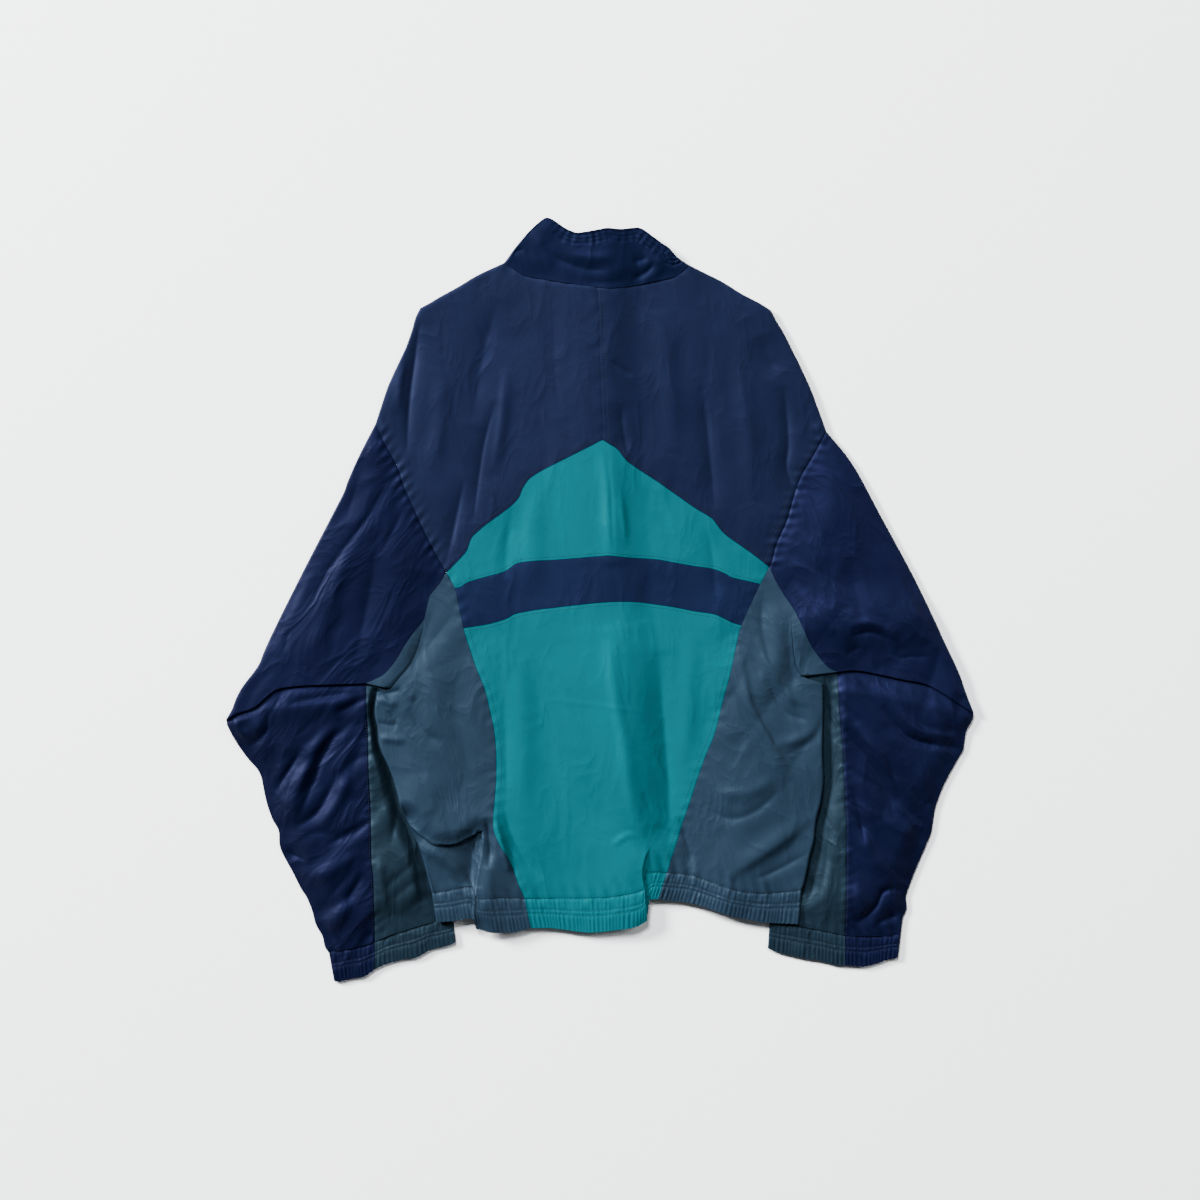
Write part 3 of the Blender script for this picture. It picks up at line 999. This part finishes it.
def forearm_height(x, y):
    """Top of a forearm: flat where the body lies over it and at its outer edge, puffed between."""
    side, turn, low = ("left", 1, FREE_EDGE_LOW) if np.mean(x) < 0 else ("right", -1, [])
    inner = from_line(np.array(FREE_EDGE[side] + low), x, y)[0] * -turn
    outer = np.abs(from_line(np.array(OUTER_FOREARM[side]), x, y)[0])
    lap = np.abs(from_line(np.array(ELBOW_LAP[side]), x, y)[0])
    cuff_line = joined(CUFF_TOP[side], CUFF_TOP_INNER[side])
    cuff = np.abs(from_line(cuff_line, x, y)[0])
    slope = np.where(x < 0, 7 + 9 * ease((-140 - y) / 80), 24)
    inside = ease((inner - 1) / slope) * ease(outer / 30) * ease(lap / 25) * (0.25 + 0.75 * ease(cuff / 40))
    crisp = ease(inner / 12) * ease(outer / 12) * (0.4 + 0.6 * ease(cuff / 20)) * ease((lap + 4) / 12)
    seam = seams([(FOREARM_SEAM[side], 0.8, 0.45, 5.0, 7, 7), (cuff_line, 0.3, 0.9, 6.0, 13, 13)], x, y)
    strip = from_line(np.array(FOREARM_SEAM[side]), x, y)[0] * turn
    calm = 1 - 0.6 * ease(strip / 6) * (x > 0)
    slant = (-0.62 * turn, -1)
    broad = BROAD[1] * crumpled(x, y, BROAD[0], STRETCH, slant, 9)
    small = SMALL[1] * crumpled(x, y, SMALL[0], STRETCH, (slant[0], -0.5), 11)
    crushed = calm * (broad + small) * ease(lap / 12 + 0.2)
    sunk = BODY_PRESS * (1 - ease((inner - 1) / slope)) * ease(lap / 12)
    height = (FOREARM_LIE - CRISP_SINK * crisp - sunk + inside * FOREARM_PUFF
              + crisp * (FOLD_GAIN * folds(FOREARM_FOLDS, x, y) + crushed) + seam * ease(lap / 8))
    return np.maximum(height, FOREARM_LEAST)


def flat_under(plan):
    """The underside of a forearm or an upper arm, on the surface."""
    return in_space(thinned(plan), 0.0)


def lapped(upper_plan, lower_plan, depth):
    """An upper arm over its forearm: both plans on as many columns, with their heights and the tuck. The
    forearm swells towards the lap, to a little below its edge."""
    columns = max(upper_plan.shape[1], lower_plan.shape[1]) - 1
    upper_plan, lower_plan = (recut(plan, columns) for plan in (upper_plan, lower_plan))
    over = upper_arm_height(upper_plan[..., 0], upper_plan[..., 1])
    below = forearm_height(lower_plan[..., 0], lower_plan[..., 1])
    from_lap = np.linalg.norm(lower_plan - lower_plan[0], axis=2)
    below += (over[-1] - LAP_STEP - below[0]) * (1 - ease(from_lap / LAP_SWELL))
    return tucked(in_space(upper_plan, over), in_space(lower_plan, below), depth)


for side in ("left", "right"):
    top = joined(curve(ARMHOLE[side]), curve(UNDERARM[side]))
    arm_seam = curve(ARM_SEAM[side])
    lap = curve(ELBOW_LAP[side])
    upper_plan = sewn(patch(top, lap, curve(OUTER_ARM[side]), arm_seam), True)
    start = lap + np.array([0, -LAP_FALL])
    outer = curve(OUTER_FOREARM[side])
    start[0] = outer[0]
    lower_plan = sewn(patch(start, curve(CUFF_TOP[side]), outer, curve(FOREARM_SEAM[side])), True)
    points, plain = lapped(upper_plan, lower_plan, 12)
    cloth("sleeve_" + side, folded(points, flat_under(plain[..., :2])), deep_navy_nylon[side])

forearm_rows = [on_cloth(beside(FOREARM_SEAM[side], turn * 1.6)[3:-3], forearm_height)
                for side, turn in (("left", -1), ("right", 1))]
stitching("sleeve_stitching", forearm_rows, deep_navy_thread)

# ==== Undersleeves ====
# The slate strip on the inside of each sleeve, from the underarm to the cuff. It runs in under the body,
# whose free edge lies over it.
UNDER_SIDE = 0.9      # how far its edge lies under the side panel's
for side, turn in (("left", 1), ("right", -1)):
    valley, arm_seam = curve(VALLEY[side]), curve(ARM_SEAM[side])
    valley = valley + np.array([1.5 * turn, 0])
    inner_lap = cut([valley[-1] + np.array([0, 1.5]), arm_seam[-1]], 20)
    upper_plan = sewn(patch(cut([valley[0], arm_seam[0]], 20), inner_lap, valley, arm_seam), True)
    hidden = curve(HIDDEN_FOREARM[side])
    hidden[0] = inner_lap[0] + np.array([-4.0 * turn, -3])
    seam = curve(FOREARM_SEAM[side])
    lower_start = cut([hidden[0], seam[0]], 30)
    lower_plan = sewn(patch(lower_start, curve(CUFF_TOP_INNER[side])[::-1], hidden, seam), True)
    points, plain = lapped(upper_plan, lower_plan, 6)
    points[:, 0, 2] -= UNDER_SIDE
    piece = cloth("undersleeve_" + side, folded(points, flat_under(plain[..., :2]), 0.5), sleeve_slate_nylon)
    piece.data.materials.append(slate_nylon)
    centres = np.array([face.center[:2] for face in piece.data.polygons])
    above_lap = centres[:, 1] > 0.001 * (inner_lap[0][1] + 0.5)
    piece.data.polygons.foreach_set("material_index", above_lap.astype(int))

# ==== Cuffs ====
# Each sleeve's own end turned up double over elastic, with three rows of stitching that hold the gathers.
CUFF_END = {
    "left": [(-282.5, -404.8), (-274.5, -404.5), (-263, -401.7), (-251, -400), (-245, -396.4),
             (-239, -391.7)],
    "right": [(316.5, -380), (306, -381.6), (297, -384.8), (281, -389), (270, -388.6), (260, -388)],
}
CUFF_END_INNER = {
    "left": [(-239, -391.7), (-226, -386), (-209, -381.6), (-195, -379.5), (-179, -371), (-166, -368),
             (-155, -364.6), (-153, -362)],
    "right": [(260, -388), (252, -388), (236, -383.7), (216, -380.5), (202.5, -377.4), (189, -374),
              (178, -370)],
}
CUFF_HEIGHT = 4.0            # top of a cuff over the surface
CASING_THICK = 0.8           # a casing's cloth is double
# a casing's rows across its width as shares of it, and those of them that are sewn through
CASING_ROWS = np.array([0.0, 0.03, 0.09, 0.16, 0.23, 0.30, 0.35, 0.38, 0.41, 0.45, 0.49, 0.52, 0.55, 0.61,
                        0.68, 0.76, 0.84, 0.91, 0.96, 1.0])
SEWN_ROWS = (1, 7, 11)
LAST_SEWN = CASING_ROWS[SEWN_ROWS[-1]]
GATHER = 4.2                 # pitch of the gathers
GATHER_STEP = 1.2            # steps of the grid along a casing
# how high the gathers stand at shares of the width: least where they are sewn through
GATHER_SHARES = [0, 0.03, 0.2, 0.38, 0.45, 0.52, 0.6, 0.9, 1]
GATHER_HEIGHTS = [0.3, 0.15, 0.65, 0.15, 0.5, 0.15, 0.65, 0.65, 0.4]


def casing(top, end, height, seed):
    """A casing between its two long edges: gathers that run across it, uneven in pitch and height,
    crinkled between the upper rows of stitching and straight below them, pressed down at each row."""
    length = np.linalg.norm(np.diff(top, axis=0), axis=1).sum()
    count = round(length / GATHER_STEP)
    top, end = cut(top, count), cut(end, count)
    v = CASING_ROWS[:, None]
    plan = (1 - v[..., None]) * top[None] + v[..., None] * end[None]
    along = np.linspace(0, length, count + 1)[None]
    crinkled = v < LAST_SEWN
    phase = along / GATHER + 0.45 * ripple(along, 17.0, seed) + 0.5 * ripple(along, 7.0, seed + 1) * crinkled
    strength = 0.75 + 0.35 * ripple(along, 9.0, seed + 2)
    band = np.interp(CASING_ROWS, GATHER_SHARES, GATHER_HEIGHTS)
    ribs = band[:, None] * strength * np.sin(2 * math.pi * phase)
    crinkle = 0.22 * uneven(along + 0 * v, 30 * v + 0 * along, 3.2, seed + 3) * crinkled
    pressed = sum(np.exp(-((v - CASING_ROWS[k]) / 0.03) ** 2) for k in SEWN_ROWS)
    swell = 0.5 * np.sin(math.pi * v)
    across = plan[2] - plan[0]
    plan[0] -= 1.2 * across / np.linalg.norm(across, axis=1)[:, None]
    plan[-1] += 0.45 * np.sin(2 * math.pi * phase[-1])[:, None] * np.array([0, 1.0])
    tucked_in = 1.1 * (v == 0)
    relief = ribs + crinkle + swell - 0.45 * pressed - tucked_in
    return in_space(plan, height(plan[..., 0], plan[..., 1]) + relief)


def sewn_rows(points):
    """The rows of a casing that are sewn through, just over its cloth."""
    return [points[k] + np.array([0, 0, 0.1]) for k in SEWN_ROWS]


def cuff_height(x, y):
    """Top of a cuff, level."""
    return np.full(np.shape(x), CUFF_HEIGHT)


cuff_rows = {"navy": [], "grey": []}
for side in ("left", "right"):
    for shade, material, slot, upper_edge, lower_edge, flat in (
            ("navy", deep_navy_nylon[side], "sleeve_nylon", CUFF_TOP, CUFF_END, (0.125, 0.031)),
            ("grey", sleeve_slate_nylon, "slate_nylon", CUFF_TOP_INNER, CUFF_END_INNER, (0.215, 0.031))):
        top, end = curve(upper_edge[side]), curve(lower_edge[side])
        if shade == "grey":
            top, end = top[::-1], end[::-1]
        points = casing(top, end, cuff_height, 40 + len(cuff_rows[shade]))
        cuff_rows[shade] += sewn_rows(points)
        cloth(f"cuff_{side}_{shade}", folded(points, flat_under(points[..., :2])), material,
              thick=CASING_THICK)
stitching("cuff_stitching_navy", cuff_rows["navy"], deep_navy_thread)
stitching("cuff_stitching_grey", cuff_rows["grey"], slate_thread)

# ==== Hem ====
# The body panels' own lower edges, turned up double over elastic in the same way as the cuffs.
HEM_END = {
    "left": [(-173.5, -341), (-155, -340), (-134.5, -337.5), (-131.5, -348), (-128, -349), (-108, -352),
             (-90, -351.5), (-73, -347.7)],
    "right": [(211, -343.5), (178, -342), (157, -338.7), (136, -334), (115.5, -327), (96.5, -321.7),
              (75, -319), (61, -317)],
}
HEM_PROUD = -0.1             # the hem's casing against the cloth above it, before it swells
HEM_SEED = {"left": 70, "right": 80}


def hem_height(x, y):
    """Top of the hem's casing at its edges."""
    return back_height(x, y) + HEM_PROUD


points = casing(in_two(HEM_BACK["top"]), in_two(HEM_BACK["end"]), hem_height, 60)
teal_rows = sewn_rows(points)
cloth("hem_back", points, teal_nylon,
      thick=CASING_THICK)
slate_rows = []
for side in ("left", "right"):
    points = casing(curve(HEM_TOP[side]), curve(HEM_END[side]), hem_height, HEM_SEED[side])
    slate_rows += sewn_rows(points)
    below = on_cloth(thinned(points[..., :2]), under_height)
    cloth("hem_" + side, folded(points, below), slate_nylon,
          thick=CASING_THICK)
stitching("hem_stitching_teal", teal_rows, teal_thread)
stitching("hem_stitching_slate", slate_rows, slate_thread)

# ==== Collar ====
# A stand collar of navy nylon, folded flat at both sides of the neck. Rows of shirring draw up its top edge.
COLLAR_TOP = [(-78.4, 387.4), (-67.8, 397.5), (-59.4, 403.9), (-56.2, 404.9), (-49.8, 402.8), (-37, 394),
              (-25.4, 389), (-14.8, 390), (-3, 392), (8.5, 393.8), (22, 393), (39, 394.8), (45.6, 393),
              (54, 387), (64.7, 379), (74, 372.6), (77.4, 367.5)]
COLLAR_SIDE = {
    "left": [(-102, 358), (-98, 363), (-90, 374), (-78.4, 387.4)],
    "right": [(95, 355.5), (88, 360), (82, 364), (77.4, 367.5)],
}
COLLAR_FRONT_TOP = {
    "left": [(-78.4, 387.4), (-66, 366), (-38, 350), (-4.3, 345)],
    "right": [(77.4, 367.5), (70, 358), (40, 349), (4.3, 345)],
}
COLLAR_STEP = 1.3     # a finer grid, for its shirring
COLLAR_RISE = 2.4     # how far the collar rises from its seam
SHIRRED_WIDTH = 17    # width of the shirred band along its top edge
SHIRRED_PITCH = 4.4   # distance between its rows of elastic thread
COLLAR_FOLDS = [
    (-2.6, 9, 9, [(-62, 382), (-50, 365), (-35, 357), (-10, 350), (22, 352)]),
    (-2.0, 5, 5, [(34, 357), (42, 360), (51, 363)]),
    (-1.0, 6, 6, [(-22, 338), (5, 336), (32, 340)]),
    (-2.4, 5, 4, [(33, 339), (50, 348), (59, 359)]),
    (0.9, 5, 5, [(41, 337), (57, 345), (66, 356)]),
    (1.6, 6, 6, [(-40, 366), (-10, 362), (20, 363)]),
    (-1.5, 5, 5, [(-95, 366), (-88, 370), (-80, 372)]),
    (1.0, 5, 5, [(-72, 392), (-62, 374), (-48, 352)]),
]
collar_nylon = nylon("navy nylon taffeta, collar", "#040818", "#070b1e", "#2e3a70", creases=0.3)


def collar_height(x, y):
    """Top of the collar's back: it rises from the neck's seam, with its folds and its shirred top edge."""
    neck = np.abs(from_line(joined(curve(NECK["left"]), curve(NECK["right"])[::-1]), x, y)[0])
    off, along, _ = from_line(curve(COLLAR_TOP), x, y)
    rise = LIE + BACK_RISE * ease(tunnel(x, y, BACK_TUNNEL)) + 1.2 + COLLAR_RISE * ease(neck / 22)
    peak = 1.6 * np.exp(-(np.hypot(x + 56, y - 396) / 12) ** 2)
    under_edge = np.abs(off)
    shirred = ease((SHIRRED_WIDTH - under_edge) / 5) * ease((x + 62) / 22)
    wander = [0.7 * ripple(along, 16.0, 90 + k) - 3.0 - SHIRRED_PITCH * k for k in range(4)]
    rows = -sum(np.exp(-((under_edge + from_row) / 1.1) ** 2) for from_row in wander)
    ruching = 0.55 * ripple(along, 3.6, 95) + 0.4 * uneven(x, y, 3.5, 97)
    return rise + peak + folds(COLLAR_FOLDS, x, y) + shirred * (rows + ruching) + 0.3 * uneven(x, y, 15, 98)


def collar_half(side, half):
    """One half of the collar's back with its front underneath, which ends at the zip."""
    low, high = front_neckline(side), curve(COLLAR_FRONT_TOP[side])
    under = patch(low, high, half[:, 0, :2], cut([low[-1], high[-1]], half.shape[0] - 1))
    under = np.stack([under[k] for k in np.linspace(0, len(under) - 1, half.shape[0]).round().astype(int)])
    under[:, 0] = half[:, 0, :2]
    return folded(half, on_cloth(under, front_height))


base = joined(curve(NECK["left"], COLLAR_STEP), curve(NECK["right"], COLLAR_STEP)[::-1])
sides = (curve(COLLAR_SIDE[side], 1.1) for side in ("left", "right"))
plan = sewn(patch(base, curve(COLLAR_TOP), *sides), True)
points = in_space(plan, collar_height(plan[..., 0], plan[..., 1]))
middle = points.shape[1] // 2
halves = [collar_half("left", points[:, :middle + 1]), collar_half("right", points[:, :middle - 1:-1])]
cloth("collar", np.concatenate([halves[0][:, ::-1], halves[1][:, 1:]], axis=1), collar_nylon,
      thick=0.6)

# ==== Fronts ====
# The two navy fronts under everything, flat on the surface and lifted along the middle by the zip.
FRONT_HEM = {
    "left": {"top": [(-80, -316), (-40, -312), (0, -301), (37.3, -286)],
             "end": [(-73, -348), (-40, -344), (0, -333), (41, -317.5)]},
    "right": {"top": [(71, -289), (58, -287), (45.9, -285)], "end": [(61, -317), (55, -316.5), (49.5, -316)]},
}
UNDER_YOKE = 7               # steps of a cloth grid that the yoke's underside takes from the front's edges
FRONT_EDGE = 4.3             # from the zip's line to each front's edge
ZIP_STEPS = 300
for side, turn in (("left", -1), ("right", 1)):
    neckline = joined(front_seam[side][:1], front_neckline(side)[UNDER_YOKE:])
    hole = joined(front_seam[side][-1:], curve(ARMHOLE[side])[UNDER_YOKE:])
    top_end = curve(FRONT_HEM[side]["top"])
    down = np.linspace(neckline[-1, 1], top_end[-1, 1], ZIP_STEPS + 1)
    zip_edge = np.column_stack([centre_front_x(down) + turn * FRONT_EDGE, down])
    plan = sewn(patch(neckline, top_end, joined(front_seam[side], hole, side_seam[side]), zip_edge))
    cloth("front_" + side, on_cloth(thinned(plan, 3)[::2], front_height), navy_nylon,
          faces_down=True)
    points = casing(top_end, curve(FRONT_HEM[side]["end"]), front_height, 110)
    cloth("hem_front_" + side, on_cloth(points[..., :2], front_height), navy_nylon,
          faces_down=True, thick=CASING_THICK)

# ==== Zip ====
# Closed down the middle of the front, its face down: two woven tapes, each with a row of moulded teeth that
# lock between the other's, and a die-cast slider with its pull tab.
ZIP_TOP, ZIP_END = 342.3, -316.0
TAPE_LOW, TAPE_HIGH = 5.4, 6.0
TAPE_EDGE = 7.0              # half width of the tapes, whose outer edges lie inside the fronts
TEETH_MIDDLE = 5.4           # height of the teeth's middle
TOOTH_PITCH = 2.6
# a tooth's sections: distance from the zip's line, half length, half height
TOOTH_SECTIONS = [(2.7, 0.75, 1.0), (0.4, 0.7, 1.0), (-0.5, 0.4, 0.7)]
TAPE_INNER = 2.6             # distance of a tape's inner edge from the zip's line
TAPE_STEP = 3.0              # steps of the tapes' grid


def coated(name, shade, dark, roughness, metallic=0.0, grain=2.5, depth=0.00003):
    """A coated or moulded surface: two shades of one colour in a fine grain, with a bump to match. The
    grain is in millimetres. It gives a zip's small parts a surface that isn't quite even."""
    material, tree, shader, place = blank(name)
    speckle = add(tree, "ShaderNodeTexNoise", {"Scale": 1000 / grain, "Detail": 3.0},
                  {"Vector": place.outputs["Object"]})
    tone = add(tree, "ShaderNodeMix", {"A": colour(shade), "B": colour(dark)},
               {"Factor": speckle.outputs["Fac"]}, data_type="RGBA")
    bump = add(tree, "ShaderNodeBump", {"Strength": 0.4, "Distance": depth},
               {"Height": speckle.outputs["Fac"]})
    tree.links.new(tone.outputs["Result"], shader.inputs["Base Color"])
    tree.links.new(bump.outputs["Normal"], shader.inputs["Normal"])
    shader.inputs["Roughness"].default_value = roughness
    shader.inputs["Metallic"].default_value = metallic
    return material


tape_weave = coated("navy polyester tape", "#0f1733", "#0a1026", 0.8, grain=PLY_SIZE, depth=0.0001)
moulded_teeth = coated("navy moulded acetal", "#141c3c", "#0e142c", 0.35)
slider_metal = coated("satin nickel plate", "#b9babd", "#9fa1a6", 0.34, metallic=1.0)
box_faces = np.array([(0, 1, 5, 4), (1, 2, 6, 5), (2, 3, 7, 6), (3, 0, 4, 7)])
tooth_faces = np.vstack([box_faces, box_faces + 4, [(3, 2, 1, 0)], [(8, 9, 10, 11)]])
for side, turn in (("left", -1), ("right", 1)):
    y = np.arange(ZIP_TOP, ZIP_END, -TAPE_STEP)
    profile = [(TAPE_INNER, TAPE_LOW), (TAPE_INNER, TAPE_HIGH), (TAPE_EDGE, TAPE_HIGH), (TAPE_EDGE, TAPE_LOW),
               (TAPE_INNER, TAPE_LOW)]
    rings = np.array([[turn * off, z] for off, z in profile[::turn]])
    points = np.stack([centre_front_x(y)[:, None] + rings[:, 0], np.broadcast_to(y[:, None], (len(y), 5)),
                       np.broadcast_to(rings[:, 1], (len(y), 5))], axis=-1)
    tape = made_of(f"zip_{side}_tape", points, tape_weave)
    y = np.arange(ZIP_TOP - 1.0 - (turn > 0) * TOOTH_PITCH / 2, ZIP_END + 1.0, -TOOTH_PITCH)
    corners = [(off * turn, sign * turn * half, TEETH_MIDDLE + rise * high)
               for off, half, high in TOOTH_SECTIONS for sign, rise in ((1, 1), (1, -1), (-1, -1), (-1, 1))]
    corners = np.array(corners)
    points = np.stack([centre_front_x(y)[:, None] + corners[:, 0], y[:, None] + corners[:, 1],
                       np.broadcast_to(corners[:, 2], (len(y), 12))], axis=-1)
    quads = (tooth_faces[None] + 12 * np.arange(len(y))[:, None, None]).reshape(-1, 4)
    teeth = made_of(f"zip_{side}_teeth", points.reshape(-1, 3), moulded_teeth, quads)
    for piece in (tape, teeth):
        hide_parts("zip_" + side)
        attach(piece, "jacket")
for node in ("zip_slider", "zip_pull"):
    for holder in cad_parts[node].material_slots:
        holder.material = slider_metal

# ==== Studio ====
# A plain pale floor, soft lights from the upper left and a camera straight above, as in a catalogue shot.
FRAME_WIDTH = 1.272          # width of the picture at the jacket's height, in metres
LENS, SENSOR = 85.0, 36.0
FLOOR_LEVEL = -0.0008        # in metres, just under the cloth


def softbox(name, place, aim, size, power):
    """A square area light at one point that faces another."""
    lamp = bpy.data.lights.new(name, "AREA")
    lamp.shape = "SQUARE"
    lamp.size = size
    lamp.energy = power
    holder = bpy.data.objects.new(name, lamp)
    holder.location = place
    way = np.array(aim, float) - np.array(place, float)
    flat = math.hypot(way[0], way[1])
    holder.rotation_euler = (math.atan2(flat, -way[2]), 0, math.atan2(way[1], way[0]) - math.pi / 2)
    bpy.context.scene.collection.objects.link(holder)


floor_mesh = bpy.data.meshes.new("floor")
corners = [(-4, -4), (4, -4), (4, 4), (-4, 4)]
floor_mesh.from_pydata([(x, y, FLOOR_LEVEL) for x, y in corners], [], [(0, 1, 2, 3)])
# pale matt paper, cloudy at about a third of a metre, so that the ground isn't dead even
paper, paper_tree, paper_shader, paper_place = blank("pale backdrop paper")
grain = add(paper_tree, "ShaderNodeTexNoise", {"Scale": 3.0, "Detail": 2.0},
            {"Vector": paper_place.outputs["Object"]})
pale = add(paper_tree, "ShaderNodeMix", {"A": colour("#fbfdff"), "B": colour("#f7fbff")},
           {"Factor": grain.outputs["Fac"]}, data_type="RGBA")
paper_tree.links.new(pale.outputs["Result"], paper_shader.inputs["Base Color"])
paper_shader.inputs["Roughness"].default_value = 0.9
floor_mesh.materials.append(paper)
floor = bpy.data.objects.new("floor", floor_mesh)
bpy.context.scene.collection.objects.link(floor)

softbox("key", (-1.6, 4.9, 7.0), (0, 0, 0), 2.2, 1500)
softbox("rake", (-5.5, 3.4, 3.2), (0, 0, 0), 1.6, 2500)
softbox("fill", (4.6, 2.4, 5.2), (0, 0, 0), 2.4, 195)
world = bpy.data.worlds.new("studio air")
world.use_nodes = True
world.node_tree.nodes["Background"].inputs["Color"].default_value = colour("#f2f5f8")
world.node_tree.nodes["Background"].inputs["Strength"].default_value = 0.09
bpy.context.scene.world = world

lens = bpy.data.cameras.new("above")
lens.lens = LENS
lens.sensor_width = SENSOR
camera = bpy.data.objects.new("above", lens)
camera.location = (0, 0, FRAME_WIDTH * LENS / SENSOR + 0.008)
bpy.context.scene.collection.objects.link(camera)
bpy.context.scene.camera = camera
